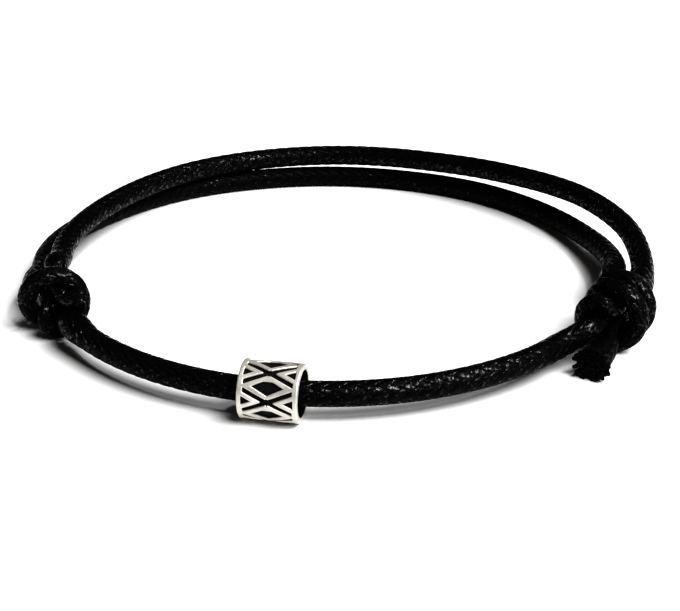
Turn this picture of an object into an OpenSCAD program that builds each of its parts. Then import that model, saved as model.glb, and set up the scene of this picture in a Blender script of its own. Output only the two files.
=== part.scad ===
// Cord bracelet: one braided cord taken twice round the wrist at the back and once at
// the front, closed by two sliding knots, with one patterned silver tube bead.
// Millimetres. Z is up and the bracelet lies on the plane Z = 0. The bead is at the
// front, towards -Y. The middle of the outline's box is at X = 0, Y = 0.

/* [Cord] */
// Diameter of the braided cord
cord_diameter = 2; // [1.7:0.1:2]
// Diameter of the cord where it is drawn tight in a knot's turns
turn_diameter = 1.64; // [1.4:0.04:1.64]
// Width of the right tail's spread end against the cord's diameter
tail_spread = 1.25; // [1:0.05:1.3]

/* [Bead] */
// Outer diameter of the bead
bead_diameter = 4.6; // [4.3:0.1:5]
// Length of the bead along the cord
bead_length = 4.7; // [4.2:0.1:5.4]
// Thickness of the bead's wall
bead_wall = 0.5; // [0.4:0.05:0.6]
// Place of the bead round the front stretch, in degrees about the front arc's centre
bead_place = 260.2; // [235:0.1:290]
// Depth of the recesses in the bead's pattern
relief_depth = 0.25; // [0.1:0.05:0.25]
// Diamonds round the bead
diamonds = 6; // [6:1:6]

/* [Hidden] */
cord_radius = cord_diameter / 2;
turn_radius = turn_diameter / 2;
cord_sides = 8;
// moves the outline's box to the middle of the frame
middle = [0.28, 2.89, 0];

// The front stretch: a level arc
front_centre = [-1.1, -2.9];
front_radius = 25.2;
front_height = 2.25;
front_from = 320;
front_to = 210;
front_step = 10;

// The strand that leaves the left knot on its inner side, crosses over the other one at
// the left back, arches above it and reaches the right knot on its outer side.
// [angle, distance from the middle, height of the centre line]
UPPER_STRAND = [
    [190.5, 25.85, 3.4],
    [170, 25.2, 3.15],
    [150, 24.6, 3.2],
    [130, 24.6, 3.15],
    [111, 24.4, 3.1],
    [90, 23.6, 3.3],
    [64.5, 22.5, 3.7],
    [39.5, 22.95, 4.2],
    [18, 24.7, 4.5],
    [3.4, 26.55, 3.8],
    [-11, 27.3, 2.9]];

// The strand that leaves the left knot on its outer side, drops to the table, passes
// under the other one and reaches the right knot on its inner side.
LOWER_STRAND = [
    [190, 27.6, 2.15],
    [170, 27.3, 1.5],
    [150, 26.4, 1.06],
    [130, 25.3, 1.01],
    [110, 24.1, 1.01],
    [90, 23.4, 1.01],
    [71, 23.1, 1.02],
    [51.5, 23.2, 1.1],
    [33, 23.4, 1.2],
    [13, 23.75, 1.6],
    [-9, 24.8, 2.5]];
ANGLE = 0;
DISTANCE = 1;
HEIGHT = 2;

// Knots. Each is a barrel of turns of the cord's own end round the strand that slides
// through it. A knot's own directions: OUT from the front arc's centre, UP, and BEAD
// along its axis towards the bead. Angles round the axis run from OUT to UP.
// [place on the front arc, sign of the bead's direction, shift out, height, whole turns,
//  hand of the turns, angle of the strand that slides, of the tied strand, of the tail,
//  angle of the tied strand behind the barrel, with the sliding one opposite, and how much
//  farther from the axis the sliding one is there]
LEFT_KNOT = [201.6, 1, 0.25, 3, 1, -1, 240, -2, 118, -31, 0.26];
RIGHT_KNOT = [333.6, -1, 1.65, 3, 2, 1, 180, 58, 302, 0, 0.75];
PLACE = 0;
SIGN = 1;
SHIFT = 2;
RISE = 3;
WHOLE = 4;
HAND = 5;
SLIDING = 6;
TIED = 7;
TAIL = 8;
LEAN = 9;
SPREAD = 10;

coil_radius = 2.15;
turn_pitch = 1.78;
back_radius = 1.12;
turn_step = 30;
// strands inside a barrel are pressed thin
pressed = 0.43;
pressed_sliding = 0.58;

// [angle, distance from the knot's axis, way past the barrel's bead end, radius]
LEFT_TAIL = [
    [118, 0.8, 0.5, 0.48],
    [130, 1.25, 1.1, 0.7],
    [148, 1.85, 1.5, 0.9],
    [155, 2.1, 1.55, 0.95]];
RIGHT_TAIL = [
    [302, 0.8, 0.5, 0.48],
    [298, 1.2, 1.2, 0.75],
    [291, 1.45, 2.3, 1],
    [284, 1.6, 3.4, 0.9 * tail_spread],
    [280, 1.64, 4.5, tail_spread]];

function unit(v) = v / norm(v);

// route points are [x, y, height, radius of the cord there]
function strand_point(row) = [
    row[DISTANCE] * cos(row[ANGLE]),
    row[DISTANCE] * sin(row[ANGLE]),
    row[HEIGHT],
    cord_radius];

function clamped(table, i) = table[max(0, min(len(table) - 1, i))];

// a row midway between two rows of a table, on a smooth curve through its rows
function midway(table, i) =
    (9 * (table[i] + table[i + 1]) - clamped(table, i - 1) - clamped(table, i + 2)) / 16;

function strand(table) = [
    for (i = [0:len(table) - 1])
        each i + 1 < len(table)
            ? [strand_point(table[i]), strand_point(midway(table, i))]
            : [strand_point(table[i])]];

function on_front(angle, out, height) = [
    front_centre[0] + (front_radius + out) * cos(angle),
    front_centre[1] + (front_radius + out) * sin(angle),
    height];

function front() = [
    for (angle = [front_from:-front_step:front_to])
        concat(on_front(angle, 0, front_height), [cord_radius])];

// how far the turns go round from the first full turn's start to the last one's end
function sweep(knot) =
    ((knot[TAIL] - 90 * knot[HAND] - knot[TIED] - 105 * knot[HAND]) * knot[HAND] + 720) % 360
    + 360 * knot[WHOLE];

function half_length(knot) = turn_pitch * sweep(knot) / 720 + 0.85;

// a row [angle, distance from the axis, way along the axis, radius] as a route point
function knot_point(knot, row) =
    let (
        out = [cos(knot[PLACE]), sin(knot[PLACE]), 0],
        bead = knot[SIGN] * [-sin(knot[PLACE]), cos(knot[PLACE]), 0],
        centre = on_front(knot[PLACE], knot[SHIFT], knot[RISE]),
        point = centre
            + out * row[1] * cos(row[0])
            + [0, 0, 1] * row[1] * sin(row[0])
            + bead * row[2])
    concat(point, [row[3]]);

// the strand that slides, from the barrel's back to its bead end
function sliding_rows(knot) =
    let (h = half_length(knot), a = knot[SLIDING], back = 180 + knot[LEAN])
    [
        [back, back_radius + knot[SPREAD], -h - 2.4, cord_radius],
        [(back + a) / 2, 1.12, -h - 1.3, 0.8 * cord_radius],
        [a, 0.6, -h - 0.4, pressed_sliding],
        [a, 0.56, -h + 0.8, pressed_sliding],
        [a, 0.56, h - 0.2, pressed_sliding],
        [a, 0.6, h + 0.5, 0.62],
        [a, 0.95, h + 1.5, 0.88 * cord_radius]];

// the tied strand goes through the barrel, turns back over itself at the bead end,
// winds to the back, and comes out again at the bead end as the tail
function tied_rows(knot, tail_rows) =
    let (
        h = half_length(knot),
        a = knot[TIED],
        t = knot[TAIL],
        s = knot[HAND],
        reach = h - 0.35,
        count = round(sweep(knot) / turn_step))
    concat(
        [
            [knot[LEAN], back_radius - knot[SPREAD], -h - 2.4, cord_radius],
            [(knot[LEAN] + a) / 2, 0.74, -h - 1.3, 0.74 * cord_radius],
            [a, 0.74, -h - 0.4, 0.45],
            [a, 0.7, -h + 0.8, pressed],
            [a, 0.7, h - 1.7, pressed],
            [a, 0.78, h - 0.85, pressed],
            [a + 12 * s, 1.05, h - 0.2, 0.46],
            [a + 35 * s, 0.75 * coil_radius, h + 0.05, 0.54],
            [a + 65 * s, 0.93 * coil_radius, h - 0.1, 0.7]],
        [for (i = [0:count]) [
            a + s * (105 + sweep(knot) * i / count),
            coil_radius,
            reach - 2 * reach * i / count,
            turn_radius]],
        [
            [t - 60 * s, 0.93 * coil_radius, -reach - 0.25, 0.7],
            [t - 35 * s, 0.75 * coil_radius, -reach - 0.4, 0.54],
            [t - 12 * s, 1.05, -reach - 0.15, 0.46],
            [t, 0.78, -reach + 0.5, 0.42],
            [t, 0.7, -reach + 1.35, pressed],
            [t, 0.7, h - 0.2, pressed]],
        [for (row = tail_rows) [row[0], row[1], h + row[2], row[3]]]);

function knot_route(knot, rows) = [for (row = rows) knot_point(knot, row)];

function backwards(list) = [for (i = [len(list) - 1:-1:0]) list[i]];

// the whole cord: left tail, left knot, lower strand, through the right knot, front,
// through the left knot, upper strand, right knot, right tail
route = concat(
    backwards(knot_route(LEFT_KNOT, tied_rows(LEFT_KNOT, LEFT_TAIL))),
    strand(LOWER_STRAND),
    knot_route(RIGHT_KNOT, sliding_rows(RIGHT_KNOT)),
    front(),
    backwards(knot_route(LEFT_KNOT, sliding_rows(LEFT_KNOT))),
    strand(UPPER_STRAND),
    knot_route(RIGHT_KNOT, tied_rows(RIGHT_KNOT, RIGHT_TAIL)));

function spot(point) = [point[0], point[1], point[2]];

function heading(points, i) =
    unit(spot(clamped(points, i + 1)) - spot(clamped(points, i - 1)));

// v with its share along a direction taken out
function across(v, direction) = unit(v - (v * direction) * direction);

// one direction across the cord at each ring, carried along without twist
function sides_up(points) = [
    for (i = 0, side = across([0, 0, 1], heading(points, 0));
        i < len(points);
        i = i + 1, side = across(side, heading(points, min(i, len(points) - 1))))
        side];

module tube(points, sides) {
    ups = sides_up(points);
    rings = [for (i = [0:len(points) - 1])
        let (up = ups[i], side = cross(heading(points, i), up))
        for (k = [0:sides - 1])
            spot(points[i]) + points[i][3] * (up * cos(360 * k / sides) + side * sin(360 * k / sides))];
    last = (len(points) - 1) * sides;
    walls = [for (i = [0:len(points) - 2])
        for (k = [0:sides - 1])
            let (a = i * sides + k, b = i * sides + (k + 1) % sides)
            each [[a, b, b + sides], [a, b + sides, a + sides]]];
    polyhedron(
        points = rings,
        faces = concat(
            [[for (k = [sides - 1:-1:0]) k]],
            walls,
            [[for (k = [0:sides - 1]) last + k]]));
}

module cord() {
    color([0.07, 0.06, 0.06])
        translate(middle)
            tube(route, cord_sides);
}

// The bead's pattern, in millimetres along the bead and round it: a long diamond with a
// sunk middle, grooves between neighbouring diamonds that cross midway, and a small sunk
// triangle between the grooves on each side.
bead_radius = bead_diameter / 2;
bead_edge = 0.12;
pitch_angle = 360 / diamonds;
// half-length and half-height of a diamond's sunk middle
sunk_diamond = [1.28, 0.68];
groove_width = 0.34;
// where a groove's centre line ends, along the bead, and how far from the diamond's axis
groove_end = [1.9, 0.32];
groove_cross = 1.2;
// [near tip, far base, half-height of the base] of a sunk triangle
sunk_triangle = [1.36, 2, 0.28];

// a cutter of the children's outline, X along the bead, sunk at an angle round it
module recess(angle) {
    rotate([angle, 0, 0])
        translate([0, 0, bead_radius - relief_depth])
            linear_extrude(2 * relief_depth)
                children();
}

module diamond_outline() {
    a = sunk_diamond[0];
    b = sunk_diamond[1];
    polygon([[a, 0], [0, b], [-a, 0], [0, -b]]);
}

module triangle_outline(side) {
    near = sunk_triangle[0] * side;
    far = sunk_triangle[1] * side;
    polygon([[near, 0], [far, sunk_triangle[2]], [far, -sunk_triangle[2]]]);
}

// a groove from midway between two diamonds to the bead's end, side and turn are 1 or -1
module groove_outline(side, turn) {
    rise = groove_cross - groove_end[1];
    length = sqrt(groove_end[0] * groove_end[0] + rise * rise);
    translate([side * groove_end[0] / 2, 0])
        rotate(-side * turn * atan(rise / groove_end[0]))
            square([length, groove_width], center = true);
}

module bead_tube() {
    rotate([0, 90, 0])
        rotate_extrude($fn = 96)
            polygon([
                [bead_radius - bead_wall, -bead_length / 2 + bead_edge],
                [bead_radius - bead_wall + bead_edge, -bead_length / 2],
                [bead_radius - bead_edge, -bead_length / 2],
                [bead_radius, -bead_length / 2 + bead_edge],
                [bead_radius, bead_length / 2 - bead_edge],
                [bead_radius - bead_edge, bead_length / 2],
                [bead_radius - bead_wall + bead_edge, bead_length / 2],
                [bead_radius - bead_wall, bead_length / 2 - bead_edge]]);
}

// a groove's middle is this far round from its diamond's axis
groove_turn = (groove_cross + groove_end[1]) / 2 / bead_radius * 180 / PI;
// the diamond at the front faces up to the viewer
first_diamond = 57;
// the loose bead stands a little askew: its right end nearer the viewer, and lower
bead_yaw = -1.5;
bead_tilt = 0.5;
bead_height = bead_radius + bead_length / 2 * sin(bead_tilt);

module bead() {
    color([0.8, 0.8, 0.8])
        translate(middle + on_front(bead_place, 0, bead_height))
            rotate([0, bead_tilt, bead_place + 90 + bead_yaw])
                difference() {
                    bead_tube();
                    for (i = [0:diamonds - 1]) {
                        angle = first_diamond + pitch_angle * i;
                        recess(angle)
                            diamond_outline();
                        for (side = [-1, 1]) {
                            recess(angle + pitch_angle / 2)
                                triangle_outline(side);
                            for (turn = [-1, 1])
                                recess(angle + turn * groove_turn)
                                    groove_outline(side, turn);
                        }
                    }
                }
}

cord();
bead();
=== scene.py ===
# %% [markdown]
# # A braided cord bracelet with a silver bead
# The bracelet is one long piece of round, waxed, braided cord. It runs once across the
# front and twice round the back, and each of its ends is knotted round the other part,
# so that the two knots slide and set the size. A short patterned silver tube is threaded
# on the front. It lies by itself on a white table.
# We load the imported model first. It is the frame that everything is placed in, in metres,
# with Z up and the bead towards -Y.

# %% Load the frame
import random
from math import cos, pi, radians, sin

import bpy
import numpy as np
from mathutils import Matrix, Vector


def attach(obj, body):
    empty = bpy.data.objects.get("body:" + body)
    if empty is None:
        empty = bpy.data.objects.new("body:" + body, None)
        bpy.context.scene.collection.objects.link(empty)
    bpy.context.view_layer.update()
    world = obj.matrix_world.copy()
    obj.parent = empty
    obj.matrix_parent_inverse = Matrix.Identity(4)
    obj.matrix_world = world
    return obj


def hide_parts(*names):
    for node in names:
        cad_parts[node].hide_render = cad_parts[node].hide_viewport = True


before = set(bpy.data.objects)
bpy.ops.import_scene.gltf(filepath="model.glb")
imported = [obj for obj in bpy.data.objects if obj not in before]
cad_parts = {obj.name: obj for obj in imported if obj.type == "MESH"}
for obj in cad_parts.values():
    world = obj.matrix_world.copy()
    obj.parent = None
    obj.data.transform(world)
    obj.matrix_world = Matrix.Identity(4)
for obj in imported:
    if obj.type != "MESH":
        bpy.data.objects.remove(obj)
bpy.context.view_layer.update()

MM = 0.001

# %% [markdown]
# ## The camera
# The picture was taken from a little above the table, quite near, looking down by about
# 25 degrees. A near camera makes the front of the cord look thicker than the back, so its
# distance matters as much as its angle. Both were worked out from how the cord's
# thickness shrinks towards the back.

# %% Camera
# in millimetres
SENSOR_WIDTH = 36
LENS = 78.7
CAMERA_SPOT = (-0.02, -124.61, 56.0)
# in degrees below the horizontal
CAMERA_PITCH = 25
# in metres
NEAREST_SEEN = 0.005
FARTHEST_SEEN = 10


def new_object(name, data):
    """An object in the scene that shows this mesh, lamp or camera."""
    thing = bpy.data.objects.new(name, data)
    bpy.context.scene.collection.objects.link(thing)
    return thing


camera_data = bpy.data.cameras.new("camera")
camera_data.sensor_width = SENSOR_WIDTH
camera_data.lens = LENS
camera_data.clip_start = NEAREST_SEEN
camera_data.clip_end = FARTHEST_SEEN
camera = new_object("camera", camera_data)
camera.location = [x * MM for x in CAMERA_SPOT]
camera.rotation_euler = (radians(90 - CAMERA_PITCH), 0, 0)
bpy.context.scene.camera = camera
print("camera at", [round(x, 4) for x in camera.location])

# %% [markdown]
# ## The cord's route
# The cord's shape is one long line in space. Its loose stretches come from short tables
# of angle, distance from the middle and height, because the eye reads a ring that way.
# The front stretch is a plain arc. Behind the knots there are two strands: the lower one
# lies on the table, and the upper one arches above it. The route is worked in millimetres
# and turned into metres at the end.

# %% The loose stretches
CORD_RADIUS = 1.0
# moves the middle of the bracelet's outline to the middle of the frame
MIDDLE = np.array([0.28, 2.89, 0.0])
FRONT_CENTRE = (-1.1, -2.9)
FRONT_RADIUS = 25.2
FRONT_HEIGHT = 2.25
FRONT_FROM = 320
FRONT_TO = 210
FRONT_STEP = 10

# angle, distance from the middle, height
UPPER_STRAND = [
    (190.5, 25.85, 3.4), (170, 25.2, 3.15), (150, 24.6, 3.2), (130, 24.6, 3.15),
    (111, 24.4, 3.1), (90, 23.6, 3.3), (64.5, 22.5, 3.7), (39.5, 22.95, 4.2),
    (18, 24.7, 4.5), (3.4, 26.55, 3.8), (-11, 27.3, 2.9)]
LOWER_STRAND = [
    (190, 27.6, 2.15), (170, 27.3, 1.5), (150, 26.4, 1.06), (130, 25.3, 1.01),
    (110, 24.1, 1.01), (90, 23.4, 1.01), (71, 23.1, 1.02), (51.5, 23.2, 1.1),
    (33, 23.4, 1.2), (13, 23.75, 1.6), (-9, 24.8, 2.5)]


def strand(table):
    """The table's points and one between each two, as x, y, height and radius."""
    rows = np.array(table, float)
    padded = np.vstack([rows[:1], rows, rows[-1:]])
    # a point halfway along the cubic curve through the two rows and their neighbours
    middles = (9 * (rows[:-1] + rows[1:]) - padded[:-3] - padded[3:]) / 16
    both = np.empty((2 * len(rows) - 1, 3))
    both[0::2] = rows
    both[1::2] = middles
    turn = np.radians(both[:, 0])
    return [
        (r * cos(a), r * sin(a), height, CORD_RADIUS)
        for a, r, height in zip(turn, both[:, 1], both[:, 2])]


def on_front(angle, out=0.0, height=FRONT_HEIGHT):
    """A point of the front arc, moved out from its centre and set to a height."""
    reach = FRONT_RADIUS + out
    return np.array([
        FRONT_CENTRE[0] + reach * cos(radians(angle)),
        FRONT_CENTRE[1] + reach * sin(radians(angle)),
        height])


upper, lower = strand(UPPER_STRAND), strand(LOWER_STRAND)
front = [
    (*on_front(angle), CORD_RADIUS)
    for angle in range(FRONT_FROM, FRONT_TO - 1, -FRONT_STEP)]
print("points on the front", len(front), "on each strand behind", len(upper), len(lower))

# %% [markdown]
# ## The two knots
# Each knot is a barrel of turns. The tied end runs through the barrel, turns back over
# itself at the end near the bead, winds to the back, and comes out again through its own
# turns as a short tail. The other strand runs straight through, which lets the knot
# slide. Each row gives the angle round the barrel, the distance from its axis, the way
# along it and the cord's radius, because a knot presses the cord thin inside.

# %% The knots' sizes
# from the barrel's axis to the middle of the cord in a full turn, and the cord's radius there
COIL_RADIUS = 2.15
TURN_RADIUS = 0.82
# what each full turn adds to the barrel's length, and what the turn over each end adds
TURN_PITCH = 1.78
END_ROOM = 0.85
# the full turns stop this far inside the barrel's ends
END_GAP = 0.35
# degrees from one point of a turn to the next
TURN_STEP = 30
# degrees that the cord needs to climb onto the first full turn, and to dive off the last
LEAD_IN = 105
LEAD_OUT = 90
# the two strands behind the barrel: their mean distance from its axis, and how far back
BACK_RADIUS = 1.12
BACK_WAY = 2.4
# radii of the strands that are pressed inside the barrel
PRESSED = 0.43
PRESSED_SLIDING = 0.58
LEFT_KNOT = dict(
    place=201.6, sign=1, shift=0.25, rise=3.0, whole=1, hand=-1,
    sliding=240, tied=-2, tail=118, lean=-31, spread=0.26)
RIGHT_KNOT = dict(
    place=333.6, sign=-1, shift=1.65, rise=3.0, whole=2, hand=1,
    sliding=180, tied=58, tail=302, lean=0, spread=0.75)
# angle, distance, way past the barrel's end, radius
LEFT_TAIL = [
    (118, 0.8, 0.5, 0.48), (130, 1.25, 1.1, 0.7), (148, 1.85, 1.5, 0.9), (155, 2.1, 1.55, 0.95)]
RIGHT_TAIL = [
    (302, 0.8, 0.5, 0.48), (298, 1.2, 1.2, 0.75), (291, 1.45, 2.3, 1), (284, 1.6, 3.4, 1.125),
    (280, 1.64, 4.5, 1.25)]


def sweep(knot):
    """How far round the full turns go, in degrees."""
    part = (knot["tail"] - knot["tied"]) * knot["hand"] - LEAD_IN - LEAD_OUT
    return part % 360 + 360 * knot["whole"]


def half_length(knot):
    """From the barrel's middle to the middle of the cord where it turns over the end."""
    return TURN_PITCH * sweep(knot) / 360 / 2 + END_ROOM


for label, knot in (("left", LEFT_KNOT), ("right", RIGHT_KNOT)):
    print(label, "knot, full turns", round(sweep(knot) / 360, 2))
    print(label, "knot, mm between its end turns", round(2 * half_length(knot), 1))


# %% The knots' rows
def sliding_rows(knot):
    """The strand that slides, from behind the barrel to the side of the bead."""
    h, a, back = half_length(knot), knot["sliding"], 180 + knot["lean"]
    return [
        (back, BACK_RADIUS + knot["spread"], -h - BACK_WAY, CORD_RADIUS),
        ((back + a) / 2, 1.12, -h - 1.3, 0.8),
        (a, 0.6, -h - 0.4, PRESSED_SLIDING),
        (a, 0.56, -h + 0.8, PRESSED_SLIDING),
        (a, 0.56, h - 0.2, PRESSED_SLIDING),
        (a, 0.6, h + 0.5, 0.62),
        (a, 0.95, h + 1.5, 0.88)]


def tied_rows(knot, tail_rows):
    """The tied strand: through the barrel, back over it in turns, and out as the tail."""
    h, a, t, s = half_length(knot), knot["tied"], knot["tail"], knot["hand"]
    reach = h - END_GAP
    around = sweep(knot)
    count = round(around / TURN_STEP)
    through = [
        (knot["lean"], BACK_RADIUS - knot["spread"], -h - BACK_WAY, CORD_RADIUS),
        ((knot["lean"] + a) / 2, 0.74, -h - 1.3, 0.74),
        (a, 0.74, -h - 0.4, 0.45),
        (a, 0.7, -h + 0.8, PRESSED),
        (a, 0.7, h - 1.7, PRESSED),
        (a, 0.78, h - 0.85, PRESSED)]
    over = [
        (a + 12 * s, 1.05, h - 0.2, 0.46),
        (a + 35 * s, 0.75 * COIL_RADIUS, h + 0.05, 0.54),
        (a + 65 * s, 0.93 * COIL_RADIUS, h - 0.1, 0.7)]
    turns = [
        (a + s * (LEAD_IN + around * i / count), COIL_RADIUS, reach - 2 * reach * i / count,
         TURN_RADIUS)
        for i in range(count + 1)]
    tuck = [
        (t - 60 * s, 0.93 * COIL_RADIUS, -reach - 0.25, 0.7),
        (t - 35 * s, 0.75 * COIL_RADIUS, -reach - 0.4, 0.54),
        (t - 12 * s, 1.05, -reach - 0.15, 0.46),
        (t, 0.78, -reach + 0.5, 0.42),
        (t, 0.7, -reach + 1.35, PRESSED),
        (t, 0.7, h - 0.2, PRESSED)]
    tail = [(angle, distance, h + way, radius) for angle, distance, way, radius in tail_rows]
    return through + over + turns + tuck + tail


def knot_route(knot, rows):
    """Rows of angle, distance, way and radius as route points."""
    place = radians(knot["place"])
    out = np.array([cos(place), sin(place), 0])
    up = np.array([0, 0, 1])
    bead_way = knot["sign"] * np.array([-sin(place), cos(place), 0])
    centre = on_front(knot["place"], knot["shift"], knot["rise"])
    points = []
    for angle, distance, way, radius in rows:
        a = radians(angle)
        spot = centre + out * distance * cos(a) + up * distance * sin(a) + bead_way * way
        points.append((*spot, radius))
    return points


route = np.array(
    knot_route(LEFT_KNOT, tied_rows(LEFT_KNOT, LEFT_TAIL))[::-1]
    + lower
    + knot_route(RIGHT_KNOT, sliding_rows(RIGHT_KNOT))
    + front
    + knot_route(LEFT_KNOT, sliding_rows(LEFT_KNOT))[::-1]
    + upper
    + knot_route(RIGHT_KNOT, tied_rows(RIGHT_KNOT, RIGHT_TAIL)))
route[:, :3] += MIDDLE
print("route points", len(route))

# %% [markdown]
# ## A smooth line through the route
# A smooth curve is laid through the route's points, with its steps sized by the distance
# between them, so that the close points of a knot and the wide ones of a loose stretch
# both come out round. It is then cut into equal short steps, because the braid has to
# have the same fineness everywhere.

# %% Smooth line
STEP = 0.33


def smooth_line(points, parts=12):
    """A curve through every point, shared out by the distance between neighbours."""
    gap = np.linalg.norm(np.diff(points[:, :3], axis=0), axis=1)[:, None]
    slope = np.diff(points, axis=0) / gap
    lean = np.vstack([
        slope[:1],
        (gap[1:] * slope[:-1] + gap[:-1] * slope[1:]) / (gap[1:] + gap[:-1]),
        slope[-1:]])
    t = np.arange(parts)[:, None] / parts
    here = 2 * t**3 - 3 * t**2 + 1
    there = 3 * t**2 - 2 * t**3
    lean_here = t**3 - 2 * t**2 + t
    lean_there = t**3 - t**2
    found = [
        here * points[i] + lean_here * gap[i] * lean[i]
        + there * points[i + 1] + lean_there * gap[i] * lean[i + 1]
        for i in range(len(gap))]
    return np.vstack([*found, points[-1:]])


def even_steps(points, step):
    """The same line with its points about one step apart, and its length."""
    hops = np.linalg.norm(np.diff(points[:, :3], axis=0), axis=1)
    way = np.concatenate([[0], np.cumsum(hops)])
    length = way[-1]
    places = np.linspace(0, length, int(round(length / step)) + 1)
    return np.column_stack([np.interp(places, way, column) for column in points.T]), length


line, cord_length = even_steps(smooth_line(route), STEP)
print("cord length", round(cord_length, 1), "mm in", len(line), "points")

# %% [markdown]
# ## Helpers for node trees
# Geometry Nodes build the braid and the bead, and shader nodes the finishes. A small
# helper adds a node with its settings and its inputs in one line. An input that is given
# another node's output is linked, and any other value is set. The other helpers are for
# the sums that both kinds of tree need.


# %% Node helpers
def add(tree, kind, inputs=None, **settings):
    """A new node in the tree, with its settings made and its inputs linked or set."""
    node = tree.nodes.new(kind)
    for name, value in settings.items():
        setattr(node, name, value)
    for key, value in (inputs or {}).items():
        if isinstance(value, bpy.types.NodeSocket):
            tree.links.new(value, node.inputs[key])
        else:
            node.inputs[key].default_value = value
    return node


def calc(tree, operation, *values):
    """The result of a sum on single numbers."""
    return add(tree, "ShaderNodeMath", dict(enumerate(values)), operation=operation).outputs[0]


def scaled(tree, vector, factor):
    """A vector times a number."""
    inputs = {"Vector": vector, "Scale": factor}
    return add(tree, "ShaderNodeVectorMath", inputs, operation="SCALE").outputs[0]


def vector_pair(tree, operation, first, second):
    """The result of a sum on two vectors."""
    return add(tree, "ShaderNodeVectorMath", {0: first, 1: second}, operation=operation).outputs[0]


# %% [markdown]
# ## Helpers for Geometry Nodes
# Each tree gets named inputs for its sizes, and grows its shape on a host: a mesh of
# points and edges that carry the cord's radius, or a piece that is repeated. The result
# is turned into a plain mesh of its own, and the tree comes off again.


# %% Geometry helpers
def new_geometry_tree(name, sockets):
    """A Geometry Nodes tree with a geometry input and output and named inputs."""
    tree = bpy.data.node_groups.new(name, "GeometryNodeTree")
    tree.interface.new_socket("Geometry", in_out="INPUT", socket_type="NodeSocketGeometry")
    for label, kind in sockets:
        tree.interface.new_socket(label, in_out="INPUT", socket_type=kind)
    tree.interface.new_socket("Geometry", in_out="OUTPUT", socket_type="NodeSocketGeometry")
    return tree, tree.nodes.new("NodeGroupInput").outputs, tree.nodes.new("NodeGroupOutput")


def stored(tree, geometry, label, field, kind="FLOAT"):
    """The same geometry with a field kept on its points under a name."""
    return add(tree, "GeometryNodeStoreNamedAttribute", {
        "Geometry": geometry, "Name": label, "Value": field},
        data_type=kind, domain="POINT").outputs[0]


def recalled(tree, label, kind="FLOAT"):
    """A field that was kept under a name."""
    return add(tree, "GeometryNodeInputNamedAttribute", {"Name": label}, data_type=kind).outputs[0]


def finish_tree(tree, geometry, material, result):
    """Ends a tree: smooth faces, real instances and a material."""
    smooth = add(tree, "GeometryNodeSetShadeSmooth", {"Geometry": geometry}).outputs[0]
    real = add(tree, "GeometryNodeRealizeInstances", {"Geometry": smooth}).outputs[0]
    made = add(tree, "GeometryNodeSetMaterial", {"Geometry": real, "Material": material}).outputs[0]
    tree.links.new(made, result.inputs["Geometry"])


def threads(name, spots, edges, radii):
    """A host of points and edges that carry a thickness, given in millimetres."""
    mesh = bpy.data.meshes.new(name)
    mesh.from_pydata([tuple(spot * MM) for spot in spots], edges, [])
    thickness = mesh.attributes.new("thickness", "FLOAT", "POINT")
    thickness.data.foreach_set("value", (np.array(radii) * MM).astype(np.float32))
    return new_object(name, mesh)


def grown(name, host, tree, values):
    """Runs the tree on the host object and returns its result as a plain mesh object."""
    modifier = host.modifiers.new(name, "NODES")
    modifier.node_group = tree
    for socket in tree.interface.items_tree:
        if socket.in_out == "INPUT" and socket.name in values:
            modifier[socket.identifier] = values[socket.name]
    seen = bpy.context.evaluated_depsgraph_get()
    mesh = bpy.data.meshes.new_from_object(host.evaluated_get(seen))
    host.modifiers.remove(modifier)
    mesh.name = name
    print(name, "has", sum(len(p.vertices) - 2 for p in mesh.polygons), "triangles")
    return new_object(name, mesh)


# %% [markdown]
# ## Helpers for finishes
# The bracelet's finishes start from noise that is read at the point's own place on the
# piece. It is stretched to the range that it should work in, and then mixes two colours
# or sets how rough the surface is.

# %% Finish helpers
# the Mix node has sockets for each kind of value, and these are the ones for colours
MIX_FIRST = 6
MIX_SECOND = 7
MIX_RESULT = 2
# the height that 1 in a bump stands for, in metres
BUMP_DEPTH = 0.00003


def new_material(name):
    """A material with its node tree and its shader."""
    material = bpy.data.materials.new(name)
    material.use_nodes = True
    return material, material.node_tree, material.node_tree.nodes["Principled BSDF"]


def noise(tree, place, scale, detail, **others):
    """Noise from 0 to 1, with finer grain for a larger scale."""
    inputs = {"Vector": place, "Scale": scale, "Detail": detail, **others}
    return add(tree, "ShaderNodeTexNoise", inputs).outputs["Fac"]


def mapped(tree, value, low=0.0, high=1.0, first=0.0, last=1.0):
    """First where the value is low, last where it is high, and between them in between."""
    return add(tree, "ShaderNodeMapRange", {
        "Value": value, "From Min": low, "From Max": high,
        "To Min": first, "To Max": last}).outputs["Result"]


def mixed(tree, share, first, second):
    """A colour from the first, where the share is 0, to the second, where it is 1."""
    return add(tree, "ShaderNodeMix", {
        "Factor": share, MIX_FIRST: first, MIX_SECOND: second},
        data_type="RGBA").outputs[MIX_RESULT]


# %% [markdown]
# ## The finish of the cord
# The cord is cotton, dyed black and waxed. The wax shows as small bright specks on the
# upper side, where the cord is rubbed, and the lower side stays dull. So one fine noise
# says where the wax shines, and it is lowered towards the table and towards the back. It
# drives the roughness and the strength of the mirror together. Each strand is itself made
# of a few fine yarns that run along it, which we draw as shallow lines in the bump, using
# the strand's own attributes, so that the lines follow every bend of the cord. The cut
# yarns at the two ends get a matt black of their own.

# %% Cord material
# the dye: a level of the noise and the colour there
DYE = ((0.35, (0.0016, 0.0016, 0.0018, 1)), (0.75, (0.004, 0.0036, 0.0036, 1)))
DYE_GRAIN = 420
WAX_GRAIN = 3200
FIBRE_GRAIN = 6500
# the wax begins to shine at the first level of its noise and is full at the second
WAX_LEVELS = (0.49, 0.6)
# the way back, in metres, over which the specks fade, and by how much
BACK_FADE = (-0.004, 0.012, 0.04)
# the heights, in metres, from the rubbed side down to the dull one, and by how much
LOW_FADE = (0.0029, 0.0022, 0.1)
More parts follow.
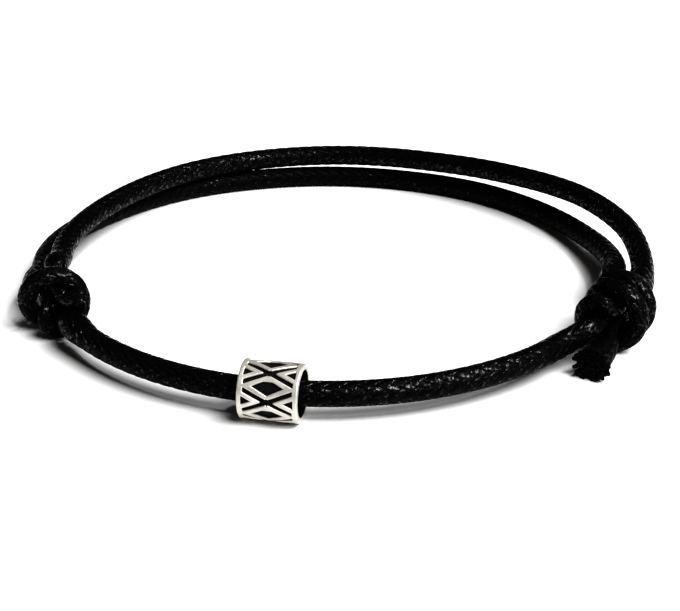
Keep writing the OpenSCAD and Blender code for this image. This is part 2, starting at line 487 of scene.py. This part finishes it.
# bare cord first, full wax last
CORD_ROUGHNESS = (0.5, 0.08)
CORD_MIRROR = (0.05, 0.38)
# a strand's yarns are a sine: its angle from the strand's middle to its edge, and per metre
YARN_ACROSS = 8.0
YARN_ALONG = 900.0
# heights beside one another in the bump, not sizes
YARN_HEIGHT = 0.2
FIBRE_HEIGHT = 2.5
# the cut yarns' own matt black, from its darkest to its palest
CUT_GRAIN = 1300
CUT_COLOURS = ((0.0008, 0.0008, 0.001, 1), (0.003, 0.0028, 0.0028, 1))


def cord_material():
    """Black dyed cotton with specks of wax."""
    material, tree, shader = new_material("black waxed braid")
    place = add(tree, "ShaderNodeTexCoord").outputs["Object"]
    tint = add(tree, "ShaderNodeValToRGB", {"Fac": noise(tree, place, DYE_GRAIN, 3)})
    for stop, (level, colour) in zip(tint.color_ramp.elements, DYE):
        stop.position = level
        stop.color = colour
    tree.links.new(tint.outputs["Color"], shader.inputs["Base Color"])

    split = add(tree, "ShaderNodeSeparateXYZ", {"Vector": place}).outputs
    back_from, back_to, back_loss = BACK_FADE
    high, low, low_loss = LOW_FADE
    behind = mapped(tree, split["Y"], back_from, back_to, 0.0, back_loss)
    below = mapped(tree, split["Z"], high, low, 0.0, low_loss)
    dull = calc(tree, "ADD", behind, below)
    specks = calc(tree, "SUBTRACT", noise(tree, place, WAX_GRAIN, 2), dull)
    wax = mapped(tree, specks, *WAX_LEVELS)
    tree.links.new(mapped(tree, wax, 0.0, 1.0, *CORD_ROUGHNESS), shader.inputs["Roughness"])
    mirror = mapped(tree, wax, 0.0, 1.0, *CORD_MIRROR)
    tree.links.new(mirror, shader.inputs["Specular IOR Level"])

    along = add(tree, "ShaderNodeAttribute", attribute_name="along").outputs["Fac"]
    across = add(tree, "ShaderNodeAttribute", attribute_name="across").outputs["Fac"]
    waves = calc(tree, "MULTIPLY", across, YARN_ACROSS)
    slant = calc(tree, "MULTIPLY", along, YARN_ALONG)
    yarns = calc(tree, "SINE", calc(tree, "ADD", waves, slant))
    fibres = calc(tree, "MULTIPLY", noise(tree, place, FIBRE_GRAIN, 2), FIBRE_HEIGHT)
    height = calc(tree, "ADD", calc(tree, "MULTIPLY", yarns, YARN_HEIGHT), fibres)
    bump = add(tree, "ShaderNodeBump", {
        "Height": height, "Strength": 0.5, "Distance": BUMP_DEPTH})
    tree.links.new(bump.outputs["Normal"], shader.inputs["Normal"])
    return material


def yarn_material():
    """The cut yarns have no wax on their ends, so they are matt and swallow the light."""
    material, tree, shader = new_material("cut yarn")
    place = add(tree, "ShaderNodeTexCoord").outputs["Object"]
    tint = mixed(tree, noise(tree, place, CUT_GRAIN, 2), *CUT_COLOURS)
    tree.links.new(tint, shader.inputs["Base Color"])
    shader.inputs["Roughness"].default_value = 0.6
    shader.inputs["Specular IOR Level"].default_value = 0.08
    return material


black_cord = cord_material()
cut_yarn = yarn_material()
print("made", black_cord.name, "and", cut_yarn.name)

# %% [markdown]
# ## The braid
# Sixteen strands make the braid: eight wind to the right and eight to the left, and each
# passes over two and under two. One tree makes eight of them, with the hand of the
# winding as an input. It notes on the cord's line how far along each point lies and which
# ways are square to the line there, and copies the line eight times.

# %% Braid tree: eight copies of the line
BRAID_LAY = 10.0
STRANDS = 8
braid_tree, given, result = new_geometry_tree("braid", [
    ("Hand", "NodeSocketFloat"), ("Lay", "NodeSocketFloat"), ("Strands", "NodeSocketInt"),
    ("Middle", "NodeSocketFloat"), ("Rise", "NodeSocketFloat"), ("Half width", "NodeSocketFloat"),
    ("Half height", "NodeSocketFloat"), ("Material", "NodeSocketMaterial")])
curve = add(braid_tree, "GeometryNodeMeshToCurve", {"Mesh": given["Geometry"]}).outputs["Curve"]
way = add(braid_tree, "GeometryNodeSplineParameter").outputs["Length"]
normal = add(braid_tree, "GeometryNodeInputNormal").outputs["Normal"]
tangent = add(braid_tree, "GeometryNodeInputTangent").outputs["Tangent"]
side = vector_pair(braid_tree, "CROSS_PRODUCT", tangent, normal)
curve = stored(braid_tree, curve, "along", way)
curve = stored(braid_tree, curve, "line_normal", normal, "FLOAT_VECTOR")
curve = stored(braid_tree, curve, "line_side", side, "FLOAT_VECTOR")
copies = add(braid_tree, "GeometryNodeDuplicateElements", {
    "Geometry": curve, "Amount": given["Strands"]}, domain="SPLINE").outputs
print("one turn of a strand takes", BRAID_LAY, "mm")

# %% [markdown]
# Each copy is turned round the line as a screw. Where it crosses the strands of the other
# hand it has to pass over two and under two, so we count the crossings behind each point,
# in steps of one strand's share of the circle, and let a cosine of that count raise and
# lower the strand.

# %% Braid tree: over two and under two
share = calc(braid_tree, "DIVIDE", 2 * pi, given["Strands"])
laid = calc(braid_tree, "DIVIDE", recalled(braid_tree, "along"), given["Lay"])
swing = calc(braid_tree, "MULTIPLY", laid, 2 * pi)
turned = calc(braid_tree, "MULTIPLY", swing, given["Hand"])
own_turn = calc(braid_tree, "MULTIPLY", copies["Duplicate Index"], share)
angle = calc(braid_tree, "ADD", turned, own_turn)
crossings = calc(braid_tree, "DIVIDE", calc(braid_tree, "MULTIPLY", turned, 2.0), share)
own_crossings = calc(braid_tree, "MULTIPLY", copies["Duplicate Index"], 2.0)
phase = calc(braid_tree, "ADD", crossings, own_crossings)
late = calc(braid_tree, "SUBTRACT", phase, 0.5)
lift = calc(braid_tree, "COSINE", calc(braid_tree, "MULTIPLY", late, pi / 2))
lift = calc(braid_tree, "MULTIPLY", calc(braid_tree, "MULTIPLY", lift, given["Hand"]), given["Rise"])
middle = calc(braid_tree, "ADD", given["Middle"], lift)
distance = calc(braid_tree, "MULTIPLY", middle, recalled(braid_tree, "thickness"))
line_normal = recalled(braid_tree, "line_normal", "FLOAT_VECTOR")
line_side = recalled(braid_tree, "line_side", "FLOAT_VECTOR")
outwards = vector_pair(
    braid_tree, "ADD",
    scaled(braid_tree, line_normal, calc(braid_tree, "COSINE", angle)),
    scaled(braid_tree, line_side, calc(braid_tree, "SINE", angle)))
placed = stored(braid_tree, copies["Geometry"], "outwards", outwards, "FLOAT_VECTOR")
outwards = recalled(braid_tree, "outwards", "FLOAT_VECTOR")
placed = add(braid_tree, "GeometryNodeSetPosition", {
    "Geometry": placed, "Offset": scaled(braid_tree, outwards, distance)}).outputs[0]
placed = add(braid_tree, "GeometryNodeSetCurveNormal", {
    "Curve": placed, "Normal": outwards}, mode="FREE").outputs[0]
print("nodes that lay the strands", len(braid_tree.nodes))

# %% [markdown]
# A flat oval profile is drawn along each copy. It carries how far across the strand each
# of its points lies, for the fine yarns in the finish. The same tree then runs twice, once
# for each hand.

# %% Braid tree: the strands themselves
oval = add(braid_tree, "GeometryNodeCurvePrimitiveCircle", {
    "Resolution": 8, "Radius": 1.0}).outputs["Curve"]
here = add(braid_tree, "GeometryNodeInputPosition").outputs[0]
across = add(braid_tree, "ShaderNodeSeparateXYZ", {0: here}).outputs["Y"]
oval = stored(braid_tree, oval, "across", across)
size = add(braid_tree, "ShaderNodeCombineXYZ", {
    "X": given["Half height"], "Y": given["Half width"], "Z": 1.0}).outputs[0]
oval = add(braid_tree, "GeometryNodeTransform", {"Geometry": oval, "Scale": size}).outputs[0]
strands = add(braid_tree, "GeometryNodeCurveToMesh", {
    "Curve": placed, "Profile Curve": oval, "Scale": recalled(braid_tree, "thickness"),
    "Fill Caps": True}).outputs["Mesh"]
finish_tree(braid_tree, strands, given["Material"], result)

cord_line = threads(
    "cord line", line[:, :3], [(i, i + 1) for i in range(len(line) - 1)], line[:, 3])
# the middle, the rise, the width and the height are shares of the cord's radius
braids = [
    grown(name, cord_line, braid_tree, {
        "Hand": hand, "Lay": BRAID_LAY * MM, "Strands": STRANDS, "Middle": 0.9, "Rise": 0.035,
        "Half width": 0.33, "Half height": 0.1, "Material": black_cord})
    for name, hand in (("braid_right", 1.0), ("braid_left", -1.0))]

# %% [markdown]
# ## The cord's core
# Under the strands lies a plain round core. It closes the small gaps between them, and it is one
# mesh tube along the same line.

# %% Core
# the core's radius as a share of the cord's
CORE_SHARE = 0.86
tube_tree, given, result = new_geometry_tree("tube", [
    ("Share", "NodeSocketFloat"), ("Material", "NodeSocketMaterial")])
curve = add(tube_tree, "GeometryNodeMeshToCurve", {"Mesh": given["Geometry"]}).outputs["Curve"]
ring = add(tube_tree, "GeometryNodeCurvePrimitiveCircle", {
    "Resolution": 12, "Radius": 1.0}).outputs["Curve"]
tube = add(tube_tree, "GeometryNodeCurveToMesh", {
    "Curve": curve, "Profile Curve": ring,
    "Scale": calc(tube_tree, "MULTIPLY", recalled(tube_tree, "thickness"), given["Share"]),
    "Fill Caps": True}).outputs["Mesh"]
finish_tree(tube_tree, tube, given["Material"], result)
core = grown("cord_core", cord_line, tube_tree, {"Share": CORE_SHARE, "Material": black_cord})
bpy.data.objects.remove(cord_line)

# %% [markdown]
# ## The cut ends
# Both tails were cut short and have spread into their yarns. Each end gets a bunch of
# short yarns that start inside the cord and lean outwards a little, all by the same rule
# with a fixed seed. The tree that made the core draws them too, with a yarn's thickness.

# %% Tail ends
YARN_RADIUS = 0.2
# how much a yarn's radius shrinks by its tip, and how far inside the cord it starts
YARN_THINNING = 0.04
YARN_ROOT = 0.5
# where a yarn's points lie, as shares of its length
YARN_STOPS = (0.0, 0.35, 0.7, 1.0)
YARN_WANDER = 0.12
# each yarn stands one golden angle on from the last, which fills a disc evenly
GOLDEN_ANGLE = 2.39996
# the part of the bunch's radius that the roots fill
DISC_SHARE = 0.93


def yarn_bunch(name, end, inside, radius, count, flare, reach, seed):
    """Short yarns from inside a cut end, as one host mesh of many little chains."""
    chance = random.Random(seed)
    forward = (end - inside) / np.linalg.norm(end - inside)
    up = np.cross(forward, [0.0, 0.0, 1.0])
    up /= np.linalg.norm(up)
    side = np.cross(forward, up)
    spots, edges, radii = [], [], []
    for k in range(count):
        share = (k + 0.5) / count
        from_middle = radius * DISC_SHARE * share ** 0.5
        angle = k * GOLDEN_ANGLE + chance.uniform(-0.2, 0.2)
        outwards = up * cos(angle) + side * sin(angle)
        far = reach * chance.uniform(0.35, 1.0)
        bend = flare * share * chance.uniform(0.4, 1.3)
        wander = (
            up * chance.uniform(-YARN_WANDER, YARN_WANDER)
            + side * chance.uniform(-YARN_WANDER, YARN_WANDER))
        first = len(spots)
        for t in YARN_STOPS:
            way = -YARN_ROOT + (YARN_ROOT + far) * t
            spot = end + forward * way + outwards * (from_middle + bend * t * t) + wander * t
            # a yarn that would sink into the table lies on it
            spot[2] = max(spot[2], YARN_RADIUS)
            spots.append(spot)
            radii.append(YARN_RADIUS - YARN_THINNING * t)
        edges += [(first + n, first + n + 1) for n in range(len(YARN_STOPS) - 1)]
    return threads(name, spots, edges, radii)


# name, end, a point inside, radius of the bunch, yarns, flare, longest reach, seed
BUNCHES = (
    ("fray_left", line[0], line[2], 0.9, 60, 0.08, 0.25, 5),
    ("fray_right", line[-1], line[-4], 1.25, 110, 0.4, 0.5, 11))
frays = []
for name, end, inside, *rest in BUNCHES:
    bunch = yarn_bunch(name + " yarns", end[:3], inside[:3], *rest)
    frays.append(grown(name, bunch, tube_tree, {"Share": 1.0, "Material": cut_yarn}))
    bpy.data.objects.remove(bunch)

# %% [markdown]
# ## The silver bead
# The bead is a short tube whose wall is worked in relief: long diamonds go round it, with
# a sunk middle each, and the grooves between them cross like lattice. Only one sixth of
# it is modelled, as a fine grid whose distance from the axis is lowered where the pattern
# is sunk. Geometry Nodes then turn six copies of it round the axis and merge them.

# %% Bead pattern
BEAD_RADIUS = 2.3
BEAD_HALF = 2.35
BEAD_BORE = 1.8
BEAD_EDGE = 0.12
DIAMONDS = 6
# half of a diamond's share of the way round
HALF_SHARE = pi * BEAD_RADIUS / DIAMONDS
# half-length and half-width of a sunk middle, and where one of its corners is cut off
SUNK_MIDDLE = (1.25, 0.665)
CORNER_CUT = 0.48
# half-length of the diamond that the grooves follow, and where they stop along the bead
GROOVE_DIAMOND = 2.59
GROOVE_STOP = 1.95
# distances from a groove's middle to where its wall ends and to where it starts
GROOVE_WALL = (0.2, 0.11)
# half-length and half-width of the hollow where two grooves cross
CROSSING = (0.55, 0.3)
# the triangles: from where, how long, half-width at the wide end, and where they stop
WEDGE_FROM = 1.25
WEDGE_LENGTH = 0.75
WEDGE_HALF = 0.36
WEDGE_STOP = 2.03


def rhombus(a, t, half_a, half_t):
    """Signed distance to a rhombus's edge, negative inside."""
    return (abs(a) / half_a + abs(t) / half_t - 1) * half_a * half_t / np.hypot(half_a, half_t)


def ramp(x, low, high):
    """From 0 at low to 1 at high, with soft ends."""
    k = np.clip((x - low) / (high - low), 0, 1)
    return k * k * (3 - 2 * k)


def sunk(a, t):
    """How deep the relief is, 0 to 1, at a along the bead and t round it."""
    # how far it is to the edge between this share and the next one
    gap = HALF_SHARE - abs(t)
    middle = ramp(-rhombus(a, t, *SUNK_MIDDLE), -0.03, 0.07) * ramp(CORNER_CUT - t, -0.02, 0.08)
    off_groove = abs(rhombus(a, t, GROOVE_DIAMOND, HALF_SHARE))
    wall_end, wall_start = GROOVE_WALL
    groove = ramp(-off_groove, -wall_end, -wall_start) * ramp(GROOVE_STOP - abs(a), 0, 0.12)
    crossing = ramp(1 - abs(a) / CROSSING[0] - gap / CROSSING[1], -0.1, 0.3)
    wedge = WEDGE_HALF * (abs(a) - WEDGE_FROM) / WEDGE_LENGTH
    triangle = ramp(wedge - gap, -0.03, 0.06) * ramp(WEDGE_STOP - abs(a), 0, 0.09)
    triangle = triangle * (abs(a) > WEDGE_FROM - 0.05)
    return np.maximum(np.maximum(middle, groove), np.maximum(crossing, 0.95 * triangle))


print("how deep a diamond's middle is", float(sunk(0, 0)), "and its rim", float(sunk(0, 0.8)))

# %% [markdown]
# The tube's wall is one closed outline: along the worked outside, round the edge, back
# through the bore and round the other edge. Swept over a sixth of a turn it gives a grid
# of quads, and each point keeps how deep it lies, which the finish reads.

# %% One sixth of the bead
RELIEF_DEPTH = 0.26
OUTSIDE_STEPS = 112
EDGE_STEPS = 4
BORE_STEPS = 8
# where the outer edge's round begins, in radians
EDGE_FROM = 0.4
# how black the inner edge gets towards the bore
INNER_EDGE_BLACK = 0.7


def bead_profile():
    """The wall's outline: way along, radius, 1 where it is worked, 1 where it is left black."""
    flat = BEAD_HALF - BEAD_EDGE
    outside = [(a, BEAD_RADIUS, 1, 0) for a in np.linspace(-flat, flat, OUTSIDE_STEPS)]
    edge = [
        (flat + BEAD_EDGE * sin(k), BEAD_RADIUS - BEAD_EDGE + BEAD_EDGE * cos(k), 0, 0)
        for k in np.linspace(EDGE_FROM, pi / 2, EDGE_STEPS)]
    inner_edge = [
        (flat + BEAD_EDGE * cos(k), BEAD_BORE + BEAD_EDGE - BEAD_EDGE * sin(k), 0,
         INNER_EDGE_BLACK * sin(k))
        for k in np.linspace(0, pi / 2, EDGE_STEPS)]
    right = edge + inner_edge
    bore = [(a, BEAD_BORE, 0, 1) for a in np.linspace(flat, -flat, BORE_STEPS)[1:-1]]
    left = [(-a, *rest) for a, *rest in right][::-1]
    return outside + right + bore + left


def bead_sector(steps=60):
    """One share of the bead as a grid of quads round the X axis, in metres."""
    profile = np.array(bead_profile())
    turn = np.linspace(-pi / DIAMONDS, pi / DIAMONDS, steps + 1)
    a, t = profile[:, 0][:, None], turn[None, :] * BEAD_RADIUS
    low = sunk(a, t) * profile[:, 2][:, None]
    radius = profile[:, 1][:, None] - RELIEF_DEPTH * low
    spots = np.stack([
        np.broadcast_to(a, radius.shape), radius * np.sin(turn)[None, :],
        radius * np.cos(turn)[None, :]], axis=2)
    rows, columns = len(profile), steps + 1
    faces = [
        (i * columns + k, (i + 1) % rows * columns + k,
         (i + 1) % rows * columns + k + 1, i * columns + k + 1)
        for i in range(rows) for k in range(steps)]
    mesh = bpy.data.meshes.new("bead sector")
    mesh.from_pydata((spots.reshape(-1, 3) * MM).tolist(), [], faces)
    black = np.maximum(low, profile[:, 3][:, None])
    depth = mesh.attributes.new("depth", "FLOAT", "POINT")
    depth.data.foreach_set("value", black.reshape(-1).astype(np.float32))
    return new_object("bead sector", mesh)


sector = bead_sector()
print("a sixth of the bead has", len(sector.data.polygons), "quads")

# %% [markdown]
# ## The finish of the bead
# The silver is polished on its high parts and left dark in the hollows, as jewellers do
# by blackening the piece and then rubbing the raised pattern bright. The mesh carries how
# deep each point lies, and the shader mixes the two finishes by it, with a little noise
# so that the edge of the black isn't drawn with a ruler. A second noise clouds the bright
# silver, which is a little worn.

# %% Silver material
WORN_SILVER = (0.6, 0.582, 0.533, 1)
BRIGHT_SILVER = (0.755, 0.732, 0.672, 1)
OXIDE = (0.006, 0.005, 0.005, 1)
EDGE_GRAIN = 1400
EDGE_DRIFT = 0.35
WEAR_GRAIN = 900
WEAR_LEVELS = (0.35, 0.65)
SCRATCH_GRAIN = 5000
# the depths at which the black begins and is full
BLACK_DEPTHS = (0.2, 0.5)
# the depth at which the silver is roughest, and the roughness of the high and sunk parts
ROUGHEST_DEPTH = 0.8
SILVER_ROUGHNESS = (0.42, 0.7)


def silver_material():
    """Silver that is bright on the high parts of the relief and black in the hollows."""
    material, tree, shader = new_material("oxidised silver")
    place = add(tree, "ShaderNodeTexCoord").outputs["Object"]
    depth = add(tree, "ShaderNodeAttribute", attribute_name="depth").outputs["Fac"]
    off_middle = calc(tree, "SUBTRACT", noise(tree, place, EDGE_GRAIN, 4), 0.5)
    uneven = calc(tree, "ADD", depth, calc(tree, "MULTIPLY", off_middle, EDGE_DRIFT))
    black = mapped(tree, uneven, *BLACK_DEPTHS)
    wear = mapped(tree, noise(tree, place, WEAR_GRAIN, 5, Roughness=0.7), *WEAR_LEVELS)
    bright = mixed(tree, wear, WORN_SILVER, BRIGHT_SILVER)
    tree.links.new(mixed(tree, black, bright, OXIDE), shader.inputs["Base Color"])
    rough = mapped(tree, uneven, 0.0, ROUGHEST_DEPTH, *SILVER_ROUGHNESS)
    tree.links.new(rough, shader.inputs["Roughness"])
    shader.inputs["Metallic"].default_value = 0.6
    bump = add(tree, "ShaderNodeBump", {
        "Height": noise(tree, place, SCRATCH_GRAIN, 3), "Strength": 0.35,
        "Distance": BUMP_DEPTH})
    tree.links.new(bump.outputs["Normal"], shader.inputs["Normal"])
    return material


silver = silver_material()
print("made", silver.name)

# %% [markdown]
# ## The whole bead in its place
# The six shares are set round the X axis and merged. The bead is then rolled until a
# diamond nearly faces the viewer, tilted and swung a little, as it sits on the real cord,
# and moved to its place on the front, where it stands on the table.

# %% Bead tree
# points nearer than this, in metres, become one
SAME_POINT = 1e-6
ring_tree, given, result = new_geometry_tree("bead ring", [
    ("Count", "NodeSocketInt"), ("Material", "NodeSocketMaterial")])
centres = add(ring_tree, "GeometryNodePoints", {"Count": given["Count"]}).outputs[0]
number = add(ring_tree, "GeometryNodeInputIndex").outputs[0]
turn = calc(ring_tree, "MULTIPLY", number, calc(ring_tree, "DIVIDE", 2 * pi, given["Count"]))
spin = add(ring_tree, "ShaderNodeCombineXYZ", {"X": turn}).outputs[0]
shares = add(ring_tree, "GeometryNodeInstanceOnPoints", {
    "Points": centres, "Instance": given["Geometry"], "Rotation": spin}).outputs[0]
whole = add(ring_tree, "GeometryNodeRealizeInstances", {"Geometry": shares}).outputs[0]
whole = add(ring_tree, "GeometryNodeMergeByDistance", {
    "Geometry": whole, "Distance": SAME_POINT}).outputs[0]
finish_tree(ring_tree, whole, given["Material"], result)
bead = grown("silver_bead", sector, ring_tree, {"Count": DIAMONDS, "Material": silver})
bpy.data.objects.remove(sector)

# %% Bead place
BEAD_PLACE = 260.2
BEAD_ROLL = 56.6
BEAD_SWING = -1.5
BEAD_TILT = 0.5
bead_height = BEAD_RADIUS + BEAD_HALF * sin(radians(BEAD_TILT))
bead_spot = Vector((on_front(BEAD_PLACE, 0, bead_height) + MIDDLE) * MM)
bead.data.transform(
    Matrix.Translation(bead_spot)
    @ Matrix.Rotation(radians(BEAD_PLACE + 90 + BEAD_SWING), 4, "Z")
    @ Matrix.Rotation(radians(BEAD_TILT), 4, "Y")
    @ Matrix.Rotation(radians(BEAD_ROLL), 4, "X"))
bead.data.update()
print("bead at", [round(x / MM, 1) for x in bead_spot], "mm")

# %% [markdown]
# ## The table and the light
# The bracelet lies on a plain white table. Most of the shadows in the picture fall to the
# left and a little away from the viewer, with a soft edge, so a broad lamp stands high on
# the right, nearer the viewer than the bracelet. A fainter shadow falls to the left and
# towards the viewer, and bright specks lie along the right of the front. They come from a
# small lamp behind on the right, like a window. The room adds next to nothing, which
# keeps the shadows and the cord dark.

# %% Table and lights
TABLE_WHITE = (0.93, 0.93, 0.93, 1)
TABLE_HALF = 1.5
ROOM_COLOUR = (1, 0.96, 0.9, 1)
ROOM_STRENGTH = 0.03


def white_table(half):
    """A square table top under the bracelet, which isn't part of it."""
    mesh = bpy.data.meshes.new("table")
    corners = [(-half, -half, 0), (half, -half, 0), (half, half, 0), (-half, half, 0)]
    mesh.from_pydata(corners, [], [(0, 1, 2, 3)])
    material, tree, shader = new_material("white table")
    shader.inputs["Base Color"].default_value = TABLE_WHITE
    shader.inputs["Roughness"].default_value = 0.7
    mesh.materials.append(material)
    table = new_object("table", mesh)


def soft_light(name, place, size, power):
    """A square light that looks at the bracelet's middle."""
    light = bpy.data.lights.new(name, "AREA")
    light.size = size
    light.energy = power
    lamp = new_object(name, light)
    lamp.location = place
    lamp.rotation_euler = (-Vector(place)).to_track_quat("-Z", "Y").to_euler()
    print(name, "stands", round(Vector(place).length, 2), "m away")


white_table(TABLE_HALF)
soft_light("key light", place=(0.466, -0.407, 0.784), size=0.6, power=13.0)
soft_light("back window", place=(0.453, 0.211, 0.866), size=0.1, power=1.8)
world = bpy.data.worlds.new("pale room")
world.use_nodes = True
room = world.node_tree.nodes["Background"]
room.inputs["Color"].default_value = ROOM_COLOUR
room.inputs["Strength"].default_value = ROOM_STRENGTH
bpy.context.scene.world = world
bpy.context.scene.view_settings.view_transform = "Standard"
bpy.context.scene.view_settings.look = "High Contrast"

# %% [markdown]
# ## Joining the pieces to the frame
# Each piece is told which body it moves with. The cord is one body and the bead is the other,
# because the bead slides along the front. The core moves with the cord, with the braids and the cut
# yarns that lie on it, and the imported cord and bead are hidden.

# %% Bodies
for piece in (core, *braids, *frays):
    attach(piece, "cord")
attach(bead, "bead")
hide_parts("cord")
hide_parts("bead")
print("pieces", [piece.name for piece in (core, *braids, *frays, bead)])
